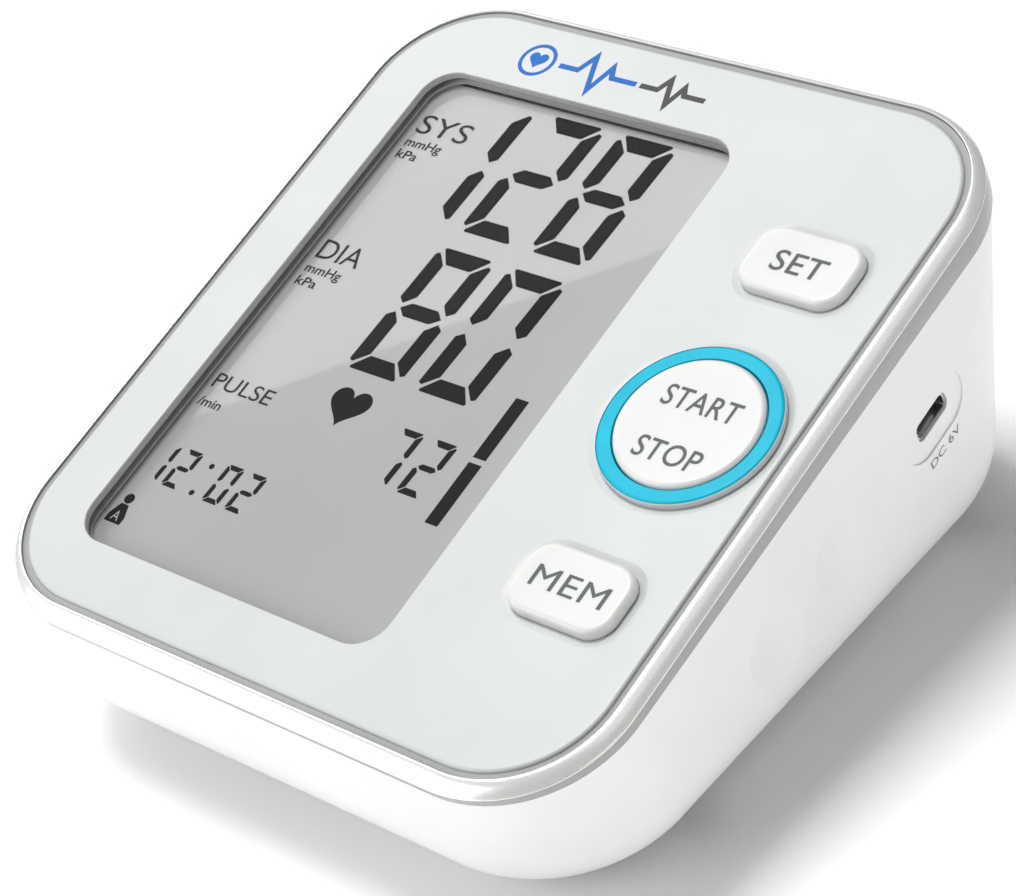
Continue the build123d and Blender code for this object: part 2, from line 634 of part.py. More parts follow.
def air_manifold():
    """Junction block between pump, valve, sensor and cuff socket."""
    manifold = span((VALVE_X - 5, VALVE_X + 5), (6, 16), (VALVE_Z - 5, VALVE_Z + 5))
    manifold += along_y(1.8, 4.4, 7)
    manifold += along_y(TUBE_BORE_R, 15, 20)
    for x, y in (CUFF_PORT, SENSOR_PORT):
        manifold += rod(TUBE_BORE_R, VALVE_Z + 4, VALVE_Z + 9, x, y, GROUND)
    manifold -= along_y(0.7, 4, 21)
    for x, y in (CUFF_PORT, SENSOR_PORT):
        manifold -= rod(0.7, VALVE_Z, VALVE_Z + 10, x, y, GROUND)
    return manifold


def air_socket():
    """Socket for the cuff hose in the left wall: collar, barrel and hose barb."""
    socket = rod(6.2, SOCKET_FACE, SOCKET_SEAT, SOCKET_Y, SOCKET_Z, ALONG_X)
    socket += rod(4.5, SOCKET_SEAT - 0.1, -43.5, SOCKET_Y, SOCKET_Z, ALONG_X)
    socket += rod(TUBE_BORE_R - 0.05, -44, -38.5, SOCKET_Y, SOCKET_Z, ALONG_X)
    bore_end = SOCKET_FACE + SOCKET_BORE_L
    socket -= rod(SOCKET_BORE_R, SOCKET_FACE - 1, bore_end, SOCKET_Y, SOCKET_Z, ALONG_X)
    socket -= rod(SOCKET_BORE_R + 0.4, bore_end, bore_end + 0.5, SOCKET_Y, SOCKET_Z, ALONG_X)
    return socket - rod(0.7, -46, -38, SOCKET_Y, SOCKET_Z, ALONG_X)


def hose(points, radius):
    """Silicone tube through the points, with a bore."""
    path = FilletPolyline(*points, radius=radius)
    start = Plane(path @ 0, z_dir=path % 0)
    return sweep(start * Circle(TUBE_R), path) - sweep(start * Circle(TUBE_BORE_R), path)


def pump_hose():
    """Tube from the pump's outlet to the back of the manifold."""
    return hose([(-25.4, PUMP_Y, PUMP_Z), (VALVE_X, PUMP_Y, PUMP_Z), (VALVE_X, 30, VALVE_Z),
                 (VALVE_X, 16.3, VALVE_Z)], 5)


def cuff_hose():
    """Tube from the cuff socket to the manifold's front port."""
    x, y = CUFF_PORT
    turn_x = -33
    return hose([(-43.3, SOCKET_Y, SOCKET_Z), (turn_x, SOCKET_Y, SOCKET_Z), (turn_x, y, SOCKET_Z),
                 (x, y, SOCKET_Z), (x, y, VALVE_Z + 5.3)], 4)


def sensor_hose():
    """Tube from the manifold's rear port to the pressure sensor."""
    x, y = SENSOR_PORT
    return hose([(x, y, VALVE_Z + 5.3), (x, y, SENSOR_END.Z), (SENSOR_END.X - 4.8, y, SENSOR_END.Z)], 4.5)


# ---- power jack, feet, screws, label -----------------------------------------------------------
def usb_shell():
    """Metal shell of the micro-USB power jack."""
    shell = plate(JACK_W, JACK_H, 1.05, -6.5, -0.6, base=jack_plane(SIDE_X))
    return shell - plate(JACK_W - 0.6, JACK_H - 0.6, 0.75, -6, 1, base=jack_plane(SIDE_X))


def usb_tongue():
    """Contact tongue inside the jack."""
    plane = jack_plane(SIDE_X)
    return extrude(plane.offset(-6) * Pos(0, 0.35) * Rectangle(3.8, 0.7), 3.9)


def jack_board():
    """Small board that carries the power jack."""
    plane = jack_plane(SIDE_X)
    low = -JACK_H / 2 - 1.2
    board = extrude(plane.offset(-14) * Pos(0, low + 0.6) * Rectangle(12, 1.2), 10.9)
    return board


def rubber_foot(x, y):
    """Rubber foot in its recess."""
    foot = rod(FOOT_PAD_R, 0, FLOOR + 0.7, x, y, GROUND)
    return fillet(foot.edges().group_by(Axis.Z)[0], 0.4)


def housing_screws():
    """Four long screws that join tub and upper housing."""
    screws = Part()
    for x, y, split in SCREW_SPOTS:
        screw = rod(2.4, SCREW_SEAT - 1.8, SCREW_SEAT, x, y, GROUND)
        screw += rod(1.2, SCREW_SEAT, split + 9, x, y, GROUND)
        screw -= span((x - 1.5, x + 1.5), (y - 0.35, y + 0.35), (SCREW_SEAT - 3, SCREW_SEAT - 0.9))
        screw -= span((x - 0.35, x + 0.35), (y - 1.5, y + 1.5), (SCREW_SEAT - 3, SCREW_SEAT - 0.9))
        screws += screw
    return screws


def rating_label():
    """Blank rating label in its shallow recess under the floor."""
    return span((-26, 26), (29, 43), (FLOOR + 0.05, FLOOR + 0.3))


# ---- all nodes ---------------------------------------------------------------------------------
NODES = {
    "lower_housing": lower_housing(),
    "upper_housing": upper_housing(),
    "trim_ring": trim_ring(),
    "front_panel": front_panel(),
    "display_lens": display_lens(),
    "set_key": oblong_key(*SET_SPOT),
    "start_stop_key": round_key(),
    "memory_key": oblong_key(*MEMORY_SPOT),
    "light_ring": light_ring(),
    "set_plunger": switch_plunger(*SET_SPOT),
    "start_stop_plunger": switch_plunger(*START_SPOT),
    "memory_plunger": switch_plunger(*MEMORY_SPOT),
    "key_switches": key_switches(),
    "lcd_glass": lcd_glass(),
    "lcd_reflector": lcd_reflector(),
    "backlight_panel": backlight_panel(),
    "lcd_carrier": lcd_carrier(),
    "connector_strip": connector_strip(),
    "main_board": main_board(),
    "board_chips": board_chips(),
    "ring_leds": ring_leds(),
    "buzzer": buzzer(),
    "pressure_sensor": pressure_sensor(),
    "board_screws": board_screws(),
    "contact_plates_left": contact_plates(-1),
    "contact_plates_right": contact_plates(1),
    "battery_springs": battery_springs(),
    "battery_door": battery_door(),
    "pump_motor": pump_motor(),
    "pump_shaft": pump_shaft(),
    "pump_head": pump_head(),
    "pump_sleeve": pump_sleeve(),
    "valve_body": valve_body(),
    "valve_plunger": valve_plunger(),
    "air_manifold": air_manifold(),
    "air_socket": air_socket(),
    "pump_hose": pump_hose(),
    "cuff_hose": cuff_hose(),
    "sensor_hose": sensor_hose(),
    "usb_shell": usb_shell(),
    "usb_tongue": usb_tongue(),
    "jack_board": jack_board(),
    "housing_screws": housing_screws(),
    "rating_label": rating_label(),
}
for number in range(4):
    NODES[f"cell_{number + 1}"] = cell(number)
for number, spot in enumerate(FOOT_SPOTS):
    NODES[f"rubber_foot_{number + 1}"] = rubber_foot(*spot)

os.makedirs("parts", exist_ok=True)
for name, shape in NODES.items():
    export_step(shape, f"parts/{name}.step")
    print(name, len(shape.solids()))
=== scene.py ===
import bpy
import bmesh
from math import cos, pi, radians, sin, tan
from mathutils import Matrix, Vector
from mathutils.bvhtree import BVHTree


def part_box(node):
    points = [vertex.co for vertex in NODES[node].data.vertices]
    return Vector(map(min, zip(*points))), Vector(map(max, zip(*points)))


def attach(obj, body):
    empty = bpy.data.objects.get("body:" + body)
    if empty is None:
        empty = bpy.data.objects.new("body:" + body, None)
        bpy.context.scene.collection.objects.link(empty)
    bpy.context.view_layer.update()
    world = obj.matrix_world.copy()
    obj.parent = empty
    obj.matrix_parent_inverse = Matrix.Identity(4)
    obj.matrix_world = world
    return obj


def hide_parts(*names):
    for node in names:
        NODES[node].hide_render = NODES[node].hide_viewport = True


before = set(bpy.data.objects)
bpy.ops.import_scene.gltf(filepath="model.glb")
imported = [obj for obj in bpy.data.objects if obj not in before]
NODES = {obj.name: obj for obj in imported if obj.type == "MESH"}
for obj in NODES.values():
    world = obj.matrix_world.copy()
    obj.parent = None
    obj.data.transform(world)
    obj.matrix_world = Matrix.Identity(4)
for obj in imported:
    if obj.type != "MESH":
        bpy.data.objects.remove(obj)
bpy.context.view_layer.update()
MM = 0.001

# ---- driving sizes, in millimetres on the face frame unless they say otherwise ----------------
FACE_TILT = 14.0                 # slope of the face, degrees
PARTING_TILT = 12.6              # slope of the joint under the trim ring, degrees
PARTING_DEPTH = 4.5              # depth of that joint at the ring's middle
OPENING_W, OPENING_H, OPENING_R = 109.5, 121.1, 17.7    # inside of the trim ring
PANEL_W, PANEL_H, PANEL_R = 107.5, 119.1, 16.8          # front panel

LENS_CENTRE = (-14.2, -1.3, -1.7)
WINDOW_W, WINDOW_H, WINDOW_R = 60.0, 96.2, 5.5
LCD_TOP = -2.6                   # upper face of the liquid crystal cell

KEY_W, KEY_H, KEY_R, KEY_GAP = 18.0, 11.7, 4.0, 0.14    # oblong keys and the gap round them
KEY_TOP = 1.5
ROUND_KEY_TOP = 1.4
SET_SPOT = (38.2, 28.6)
START_SPOT = (38.2, -0.75)
MEMORY_SPOT = (38.2, -30.1)
RING_R = 13.6                    # outer radius of the light ring

INK = 0.03                       # print and segments stand this far off their surface
FONT_CAP = 0.729                 # height of a capital in a font of size 1
KEY_WEIGHT = 0.006               # extra stroke of the keys' lettering, in letter sizes
UNIT_WEIGHT = 0.012              # and of the small unit names
SMALL_CAP = 2.4                  # capitals lower than this are unit names
SHARP_ANGLE = 32.0               # edges sharper than this stay crisp, degrees
WELD = 1e-7                      # points this near each other are merged, metres

DISPLAY_COAT = 0.6               # gloss of the polariser, which shows a softbox's edge
LENS_GLOSS = 0.001               # share of light that the clear cover mirrors


def face_frame():
    """Face frame: X right, Y up the slope, Z out of the face, origin at the face's middle."""
    low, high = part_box("display_lens")
    turn = Matrix.Rotation(radians(FACE_TILT), 4, "X")
    middle = Vector(LENS_CENTRE) * MM
    return Matrix.Translation((low + high) / 2) @ turn @ Matrix.Translation(-middle)


FACE = face_frame()


def on_face(x, y, z=0.0):
    """Point of the face frame, given in millimetres, in the object's frame."""
    return FACE @ Vector((x * MM, y * MM, z * MM))


# ---- camera -----------------------------------------------------------------------------------
FOCAL_LENGTH, SENSOR_WIDTH = 112.26, 36.0
CAMERA_PLACE = (0.28055, -0.244827, 0.30501)            # metres
CAMERA_TURN = (52.1429, 12.2369, 39.6086)               # degrees
NEAREST, FARTHEST = 0.01, 20.0                          # metres


def make_camera():
    data = bpy.data.cameras.new("camera")
    data.lens = FOCAL_LENGTH
    data.sensor_width = SENSOR_WIDTH
    data.clip_start = NEAREST
    data.clip_end = FARTHEST
    camera = bpy.data.objects.new("camera", data)
    bpy.context.scene.collection.objects.link(camera)
    camera.location = CAMERA_PLACE
    camera.rotation_euler = [radians(angle) for angle in CAMERA_TURN]
    bpy.context.scene.camera = camera


make_camera()


# ---- material helpers -------------------------------------------------------------------------
def new_material(name):
    """Node material with a Principled shader; returns (material, nodes, links, shader)."""
    material = bpy.data.materials.new(name)
    material.use_nodes = True
    tree = material.node_tree
    return material, tree.nodes, tree.links, tree.nodes["Principled BSDF"]


def set_values(node, values):
    """Sets sockets that are the same all over the surface."""
    for name, value in values.items():
        node.inputs[name].default_value = value


def object_coords(nodes):
    return nodes.new("ShaderNodeTexCoord").outputs["Object"]


def noise(nodes, links, coords, scale, detail=2.0, rough=0.5):
    """Noise with its scale in features per metre."""
    node = nodes.new("ShaderNodeTexNoise")
    set_values(node, {"Scale": scale, "Detail": detail, "Roughness": rough})
    links.new(coords, node.inputs["Vector"])
    return node.outputs["Fac"]


def ramp(nodes, links, fac, stops):
    """Colour ramp; stops are (place, colour)."""
    node = nodes.new("ShaderNodeValToRGB")
    element = node.color_ramp.elements
    element[0].position, element[0].color = stops[0][0], (*stops[0][1], 1)
    element[1].position, element[1].color = stops[-1][0], (*stops[-1][1], 1)
    for place, colour in stops[1:-1]:
        extra = element.new(place)
        extra.color = (*colour, 1)
    links.new(fac, node.inputs["Fac"])
    return node.outputs["Color"]


def mottle(nodes, links, fac, first, second):
    """Soft mix of two close colours by a noise."""
    return ramp(nodes, links, fac, [(0.3, first), (0.7, second)])


def remap(nodes, links, fac, low, high):
    """Value from 0..1 into low..high."""
    node = nodes.new("ShaderNodeMapRange")
    set_values(node, {"To Min": low, "To Max": high})
    links.new(fac, node.inputs["Value"])
    return node.outputs["Result"]


def bump(nodes, links, shader, height, distance):
    """Relief of a height, with its depth in millimetres."""
    node = nodes.new("ShaderNodeBump")
    set_values(node, {"Distance": distance * MM, "Strength": 1.0})
    links.new(height, node.inputs["Height"])
    links.new(node.outputs["Normal"], shader.inputs["Normal"])


def shade(colour, factor):
    return tuple(min(1.0, c * factor) for c in colour)


def plastic(name, colour, rough=0.35, spread=0.05, grain=0.0, coat=0.0, mottling=0.03,
            scale=9000.0, subsurface=0.0, metallic=0.0, specular=0.5):
    """Moulded plastic: faint colour mottling, roughness that varies by spread, a fine grain."""
    material, nodes, links, shader = new_material(name)
    coords = object_coords(nodes)
    broad = noise(nodes, links, coords, 45.0, 3.0, 0.55)
    tint = mottle(nodes, links, broad, shade(colour, 1 - mottling), shade(colour, 1 + mottling))
    links.new(tint, shader.inputs["Base Color"])
    fine = noise(nodes, links, coords, scale * 0.12, 4.0, 0.6)
    links.new(remap(nodes, links, fine, rough - spread, rough + spread), shader.inputs["Roughness"])
    set_values(shader, {"Metallic": metallic, "Specular IOR Level": specular})
    if coat:
        set_values(shader, {"Coat Weight": coat, "Coat Roughness": 0.06})
    if subsurface:
        set_values(shader, {"Subsurface Weight": subsurface, "Subsurface Scale": 2 * MM,
                            "Subsurface Radius": (1.0, 0.95, 0.9)})
    if grain:
        bump(nodes, links, shader, noise(nodes, links, coords, scale, 2.0), grain)
    return material


def metal(name, colour, rough=0.3, spread=0.08, stretch=(1.0, 1.0, 1.0), scale=1500.0, grain=0.004):
    """Bare or plated metal with drawn or cast streaks."""
    material, nodes, links, shader = new_material(name)
    mapping = nodes.new("ShaderNodeMapping")
    set_values(mapping, {"Scale": stretch})
    links.new(object_coords(nodes), mapping.inputs["Vector"])
    streaks = noise(nodes, links, mapping.outputs["Vector"], scale, 3.0)
    tint = mottle(nodes, links, streaks, shade(colour, 0.9), shade(colour, 1.06))
    links.new(tint, shader.inputs["Base Color"])
    roughness = remap(nodes, links, streaks, rough - spread, rough + spread)
    links.new(roughness, shader.inputs["Roughness"])
    set_values(shader, {"Metallic": 1.0})
    bump(nodes, links, shader, streaks, grain)
    return material


def silver_lacquer(name, dark, light, metallic):
    """Silver lacquer: metallic flakes under a clear coat."""
    material, nodes, links, shader = new_material(name)
    coords = object_coords(nodes)
    cells = nodes.new("ShaderNodeTexVoronoi")
    set_values(cells, {"Scale": 9000.0})
    links.new(coords, cells.inputs["Vector"])
    flakes = ramp(nodes, links, cells.outputs["Color"], [(0.2, dark), (0.8, light)])
    links.new(flakes, shader.inputs["Base Color"])
    cloud = noise(nodes, links, coords, 400.0, 3.0)
    links.new(remap(nodes, links, cloud, 0.22, 0.28), shader.inputs["Roughness"])
    set_values(shader, {"Metallic": metallic, "Coat Weight": 0.3, "Coat Roughness": 0.12})
    bump(nodes, links, shader, cells.outputs["Distance"], 0.0006)
    return material


def clear_cover():
    """Clear acrylic cover: a thin gloss film that lets the display through."""
    material, nodes, links, shader = new_material("lens_clear")
    haze = noise(nodes, links, object_coords(nodes), 60.0, 3.0)
    tint = mottle(nodes, links, haze, (0.97, 0.97, 0.97), (1.0, 1.0, 1.0))
    links.new(tint, shader.inputs["Base Color"])
    links.new(remap(nodes, links, haze, 0.012, 0.03), shader.inputs["Roughness"])
    set_values(shader, {"Metallic": 1.0, "Alpha": LENS_GLOSS})
    material.surface_render_method = "BLENDED"
    return material


def display_grey():
    """Liquid crystal cell at rest: silver-grey glossy polariser, faintly cloudy and grained."""
    material, nodes, links, shader = new_material("lcd_grey")
    coords = object_coords(nodes)
    cloud = noise(nodes, links, coords, 25.0, 2.0)
    tint = mottle(nodes, links, cloud, (0.278, 0.281, 0.278), (0.30, 0.303, 0.30))
    links.new(tint, shader.inputs["Base Color"])
    fine = noise(nodes, links, coords, 6000.0, 2.0)
    links.new(remap(nodes, links, fine, 0.36, 0.44), shader.inputs["Roughness"])
    set_values(shader, {"Coat Weight": DISPLAY_COAT, "Coat Roughness": 0.02})
    return material


def cyan_guide():
    """Translucent cyan light guide, lit a little from inside."""
    material, nodes, links, shader = new_material("ring_cyan")
    coords = object_coords(nodes)
    cloud = noise(nodes, links, coords, 180.0, 3.0)
    tint = mottle(nodes, links, cloud, (0.001, 0.355, 0.49), (0.002, 0.40, 0.55))
    links.new(tint, shader.inputs["Base Color"])
    links.new(tint, shader.inputs["Emission Color"])
    fine = noise(nodes, links, coords, 1500.0, 2.0)
    links.new(remap(nodes, links, fine, 0.3, 0.4), shader.inputs["Roughness"])
    set_values(shader, {"Emission Strength": 0.15, "Specular IOR Level": 0.15,
                        "Subsurface Weight": 0.25, "Subsurface Scale": MM})
    return material


def cell_wrapper():
    """Blank printed wrapper of an AA cell: dark body with a coppery band near each end."""
    dark, copper, end = (0.03, 0.035, 0.04), (0.55, 0.27, 0.09), (0.5, 0.25, 0.08)
    half_length = 28 * MM
    material, nodes, links, shader = new_material("cell_wrap")
    coords = object_coords(nodes)
    split = nodes.new("ShaderNodeSeparateXYZ")
    links.new(coords, split.inputs["Vector"])
    place = nodes.new("ShaderNodeMapRange")
    set_values(place, {"From Min": -half_length, "From Max": half_length})
    links.new(split.outputs["X"], place.inputs["Value"])
    stops = [(0.0, end), (0.2, copper), (0.22, dark), (0.78, dark), (0.8, copper), (1.0, end)]
    band = ramp(nodes, links, place.outputs["Result"], stops)
    links.new(band, shader.inputs["Base Color"])
    fine = noise(nodes, links, coords, 900.0, 3.0)
    links.new(remap(nodes, links, fine, 0.18, 0.3), shader.inputs["Roughness"])
    set_values(shader, {"Metallic": 0.5, "Coat Weight": 0.4})
    return material


def strip_rubber():
    """Elastomer strip with alternate conducting layers."""
    material, nodes, links, shader = new_material("strip_rubber")
    wave = nodes.new("ShaderNodeTexWave")
    set_values(wave, {"Scale": 400.0})
    links.new(object_coords(nodes), wave.inputs["Vector"])
    layers = [(0.4, (0.03, 0.03, 0.03)), (0.6, (0.5, 0.5, 0.52))]
    links.new(ramp(nodes, links, wave.outputs["Fac"], layers), shader.inputs["Base Color"])
    set_values(shader, {"Roughness": 0.6})
    return material


def window_shade_material():
    """Grey of the sheets in the window's recess: painted shade."""
    material, nodes, links, shader = new_material("window_painted_shade")
    fine = noise(nodes, links, object_coords(nodes), 3000.0, 3.0)
    tint = mottle(nodes, links, fine, (0.42, 0.42, 0.42), (0.49, 0.49, 0.49))
    links.new(tint, shader.inputs["Base Color"])
    set_values(shader, {"Roughness": 0.85, "Specular IOR Level": 0.1})
    bump(nodes, links, shader, fine, 0.01)
    return material


def give(material, *names):
    """Puts one material on CAD nodes."""
    for name in names:
        mesh = NODES[name].data
        mesh.materials.clear()
        mesh.materials.append(material)


# ---- materials: colour, roughness and its spread come first -----------------------------------
TUB = plastic("tub_white", (0.88, 0.88, 0.88), 0.36, 0.04, grain=0.004, coat=0.25,
              subsurface=0.15)
PANEL = plastic("panel_white", (0.512, 0.528, 0.53), 0.4, 0.03, grain=0.0015, scale=5000)
KEY = plastic("key_white", (0.62, 0.626, 0.61), 0.34, 0.04, grain=0.003, subsurface=0.3)
FRAME_GREY = plastic("frame_grey", (0.33, 0.34, 0.345), 0.5, 0.05, grain=0.004)
BLACK = plastic("chip_black", (0.02, 0.02, 0.022), 0.5, 0.08, grain=0.003)
SWITCH = plastic("switch_black", (0.03, 0.03, 0.03), 0.4, 0.05, grain=0.003)
CARRIER = plastic("carrier_white", (0.7, 0.7, 0.69), 0.5, 0.05, grain=0.004)
RUBBER = plastic("foot_rubber", (0.30, 0.30, 0.30), 0.75, 0.08, grain=0.02, mottling=0.1,
                 scale=4000)
SLEEVE = plastic("sleeve_rubber", (0.03, 0.03, 0.03), 0.7, 0.1, grain=0.01)
SILICONE = plastic("hose_silicone", (0.62, 0.62, 0.58), 0.35, 0.08, subsurface=0.5)
BOARD = plastic("board_green", (0.012, 0.10, 0.035), 0.3, 0.06, grain=0.006, mottling=0.2,
                scale=1500)
SOCKET = plastic("socket_grey", (0.45, 0.46, 0.47), 0.4, 0.05, grain=0.004)
LABEL = plastic("label_silver", (0.62, 0.63, 0.64), 0.3, 0.05, metallic=0.4)
LIGHT_GUIDE = plastic("light_guide", (0.8, 0.82, 0.84), 0.2, 0.05)
LED = plastic("led_white", (0.85, 0.82, 0.65), 0.2, 0.05)
SCREW = metal("screw_steel", (0.52, 0.52, 0.53), 0.32)
CONTACT = metal("contact_nickel", (0.62, 0.60, 0.56), 0.25)
CAN = metal("motor_can", (0.55, 0.55, 0.56), 0.28, stretch=(0.1, 1, 1))
JACK = metal("jack_steel", (0.62, 0.62, 0.61), 0.25, stretch=(0.1, 1, 1))
FOIL = metal("reflector_foil", (0.75, 0.75, 0.75), 0.35)
# One silver lacquer in two copies: the band's is painted lighter and the skirt's darker, as light
# and shade.
BAND_PAINTED_LIGHT = silver_lacquer("trim_silver", (0.83, 0.83, 0.815), (0.92, 0.92, 0.905), 0.42)
SKIRT_PAINTED_SHADE = silver_lacquer("trim_skirt_painted_shade", (0.345, 0.345, 0.34), (0.395, 0.395, 0.385), 0.3)
DISPLAY = display_grey()
SEGMENT = plastic("segment_dark", (0.015, 0.015, 0.016), 0.75, 0.04, mottling=0.08, scale=6000,
                  specular=0.08)
LABEL_INK = plastic("label_ink", (0.03, 0.03, 0.032), 0.7, 0.05, mottling=0.1, specular=0.12)
KEY_INK = plastic("key_ink", (0.098, 0.111, 0.104), 0.6, 0.05, mottling=0.08, specular=0.2)
SIDE_INK = plastic("side_ink", (0.16, 0.16, 0.16), 0.5, 0.05, mottling=0.1)
EMBLEM_BLUE = plastic("emblem_blue", (0.002, 0.11, 0.42), 0.5, 0.05, mottling=0.06,
                      specular=0.2)
EMBLEM_GREY = plastic("emblem_grey", (0.05, 0.05, 0.055), 0.5, 0.05, mottling=0.06,
                      specular=0.2)
# Sheets in the window's recess: the liner's grey and the pale border's grey are painted shade.
WINDOW_SHADE_GREY = window_shade_material()
LENS_BORDER_SHADE = plastic("lens_border_painted_shade", (0.62, 0.62, 0.62), 0.8, 0.05, mottling=0.04, specular=0.1)
SEAL = plastic("seal_grey", (0.34, 0.345, 0.35), 0.7, 0.08, grain=0.004, mottling=0.08,
               specular=0.2)

give(TUB, "lower_housing", "battery_door")
give(PANEL, "front_panel")
give(FRAME_GREY, "upper_housing")
give(BAND_PAINTED_LIGHT, "trim_ring")
give(clear_cover(), "display_lens")
give(cyan_guide(), "light_ring")
give(KEY, "set_key", "memory_key", "start_stop_key")
give(SWITCH, "key_switches", "set_plunger", "start_stop_plunger", "memory_plunger")
give(DISPLAY, "lcd_glass")
give(FOIL, "lcd_reflector")
give(LIGHT_GUIDE, "backlight_panel")
give(CARRIER, "lcd_carrier", "air_manifold")
give(strip_rubber(), "connector_strip")
give(BOARD, "main_board", "jack_board")
give(BLACK, "board_chips", "buzzer", "pressure_sensor", "pump_head")
give(LED, "ring_leds")
give(SCREW, "board_screws", "housing_screws", "pump_shaft", "valve_body", "valve_plunger")
give(CONTACT, "contact_plates_left", "contact_plates_right", "battery_springs")
give(CAN, "pump_motor")
give(SLEEVE, "pump_sleeve")
give(SOCKET, "air_socket", "usb_tongue")
give(SILICONE, "pump_hose", "cuff_hose", "sensor_hose")
give(JACK, "usb_shell")
give(LABEL, "rating_label")
give(cell_wrapper(), *(f"cell_{number}" for number in range(1, 5)))
give(RUBBER, *(f"rubber_foot_{number}" for number in range(1, 5)))


# ---- mesh helpers -----------------------------------------------------------------------------
def link_piece(name, mesh, material, body):
    """Makes an object from a mesh in the object's frame, and lets it ride on a body."""
    mesh.materials.clear()
    mesh.materials.append(material)
    piece = bpy.data.objects.new(name, mesh)
    bpy.context.scene.collection.objects.link(piece)
    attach(piece, body)
    return piece


def add_piece(name, bm, material, body, smooth=True):
    """Makes a piece from a bmesh."""
    mesh = bpy.data.meshes.new(name)
    bm.to_mesh(mesh)
    bm.free()
    for polygon in mesh.polygons:
        polygon.use_smooth = smooth
    return link_piece(name, mesh, material, body)


def thick_shapes(name, outlines, level, material):
    """Flat printed shapes: each outline on the face becomes a thin raised island."""
    bm = bmesh.new()
    for outline in outlines:
        low = [bm.verts.new(on_face(x, y, level)) for x, y in outline]
        high = [bm.verts.new(on_face(x, y, level + INK)) for x, y in outline]
        bm.faces.new(high)
        bm.faces.new(low[::-1])
        count = len(outline)
        for index in range(count):
            after = (index + 1) % count
            bm.faces.new((low[index], low[after], high[after], high[index]))
    bmesh.ops.recalc_face_normals(bm, faces=bm.faces)
    add_piece(name, bm, material, "housing", smooth=False)


def rounded_outline(width, height, radius, x=0.0, y=0.0, arc=14, side=6):
    """Points round a rounded rectangle, evenly spread on its arcs and sides."""
    points = []
    half_w, half_h = width / 2 - radius, height / 2 - radius
    corners = [(half_w, -half_h, -90), (half_w, half_h, 0),
               (-half_w, half_h, 90), (-half_w, -half_h, 180)]
    for index, (cx, cy, start) in enumerate(corners):
        for step in range(arc + 1):
            angle = radians(start + 90.0 * step / arc)
            points.append((x + cx + radius * cos(angle), y + cy + radius * sin(angle)))
        nx, ny, next_start = corners[(index + 1) % 4]
        end = radians(start + 90)
        begin = radians(next_start)
        ax, ay = cx + radius * cos(end), cy + radius * sin(end)
        bx, by = nx + radius * cos(begin), ny + radius * sin(begin)
        for step in range(1, side):
            share = step / side
            points.append((x + ax + (bx - ax) * share, y + ay + (by - ay) * share))
    return points


def loft(rings):
    """Skin of quads over rings of points that are already in the object's frame."""
    bm = bmesh.new()
    loops = [[bm.verts.new(point) for point in ring] for ring in rings]
    count = len(loops[0])
    for low, high in zip(loops, loops[1:]):
        for index in range(count):
            after = (index + 1) % count
            bm.faces.new((low[index], low[after], high[after], high[index]))
    bmesh.ops.recalc_face_normals(bm, faces=bm.faces)
    return bm


def closed_ring(name, levels, material):
    """Ring round a hole of the face, from a closed chain of (outline, level)."""
    bm = loft([[on_face(x, y, level) for x, y in outline] for outline, level in levels])
    bmesh.ops.remove_doubles(bm, verts=bm.verts, dist=WELD)
    piece = add_piece(name, bm, material, "housing")
    piece.data.set_sharp_from_angle(angle=radians(SHARP_ANGLE))


def strip(name, outer, inner, top, low, material, slot):
    """Closed strip between two outlines of the face, from one depth to another."""
    levels = [(outer, low), (inner, low), (inner, top), (outer, top), (outer, low)]
    closed_ring(name, levels, material)


# ---- trim ring --------------------------------------------------------------------------------
TRIM_W, TRIM_H, TRIM_R = 114.1, 125.4, 20.5             # widest outline
TRIM_Y = -0.5                    # its middle, up the slope
TRIM_ARC, TRIM_SIDE = 24, 10     # steps on each corner and each side
TRIM_PLAY = 0.05                 # room between the ring's inner wall and its neighbours
TRIM_WELD = 0.5e-6               # metres
EDGE_ROUND = 0.12                # rounding at the inner edge
EDGE_CUT = 0.3                   # share of that rounding where its middle point lies
TRIM_DROP = 1.4                  # the band rolls down this far before the skirt
BAND_STEPS = 9
BAND_REACH = 0.93                # share of the way out that the rolled band covers
BAND_FALL, BAND_CURVE = 0.86, 1.7       # how far it drops on the way, and how late
SHOULDER = ((0.16, 0.93), (0.05, 0.97), (0.0, 1.06))    # (inset, share of the drop)
SKIRT_START = 1.05               # share of the drop where the skirt's darker copy, painted shade, begins
SKIRT_DEPTH = 9.0
TRIM_DRAFT = 0.35                # the skirt leans in this far over its depth
FOOT_EDGE = 0.12                 # chamfer at the skirt's foot


def parting_level(y):
    """Level of the joint under the trim ring."""
    return -PARTING_DEPTH - (y - TRIM_Y) * tan(radians(FACE_TILT - PARTING_TILT))


def skirt_inset(z):
    """How far the skirt has leaned in at a level."""
    return TRIM_DRAFT * (-TRIM_DROP - z) / (SKIRT_DEPTH - TRIM_DROP)


def trim_outline(inset):
    """Widest outline of the trim ring, drawn in by an inset."""
    return rounded_outline(TRIM_W - 2 * inset, TRIM_H - 2 * inset, TRIM_R - inset, 0.0, TRIM_Y,
                           TRIM_ARC, TRIM_SIDE)


def opening_outline(growth):
    """Inner outline of the trim ring, let out by a growth."""
    return rounded_outline(OPENING_W + 2 * growth, OPENING_H + 2 * growth, OPENING_R + growth,
                           0.0, 0.0, TRIM_ARC, TRIM_SIDE)


def mix_outlines(first, second, share):
    return [(a[0] + (b[0] - a[0]) * share, a[1] + (b[1] - a[1]) * share)
            for a, b in zip(first, second)]


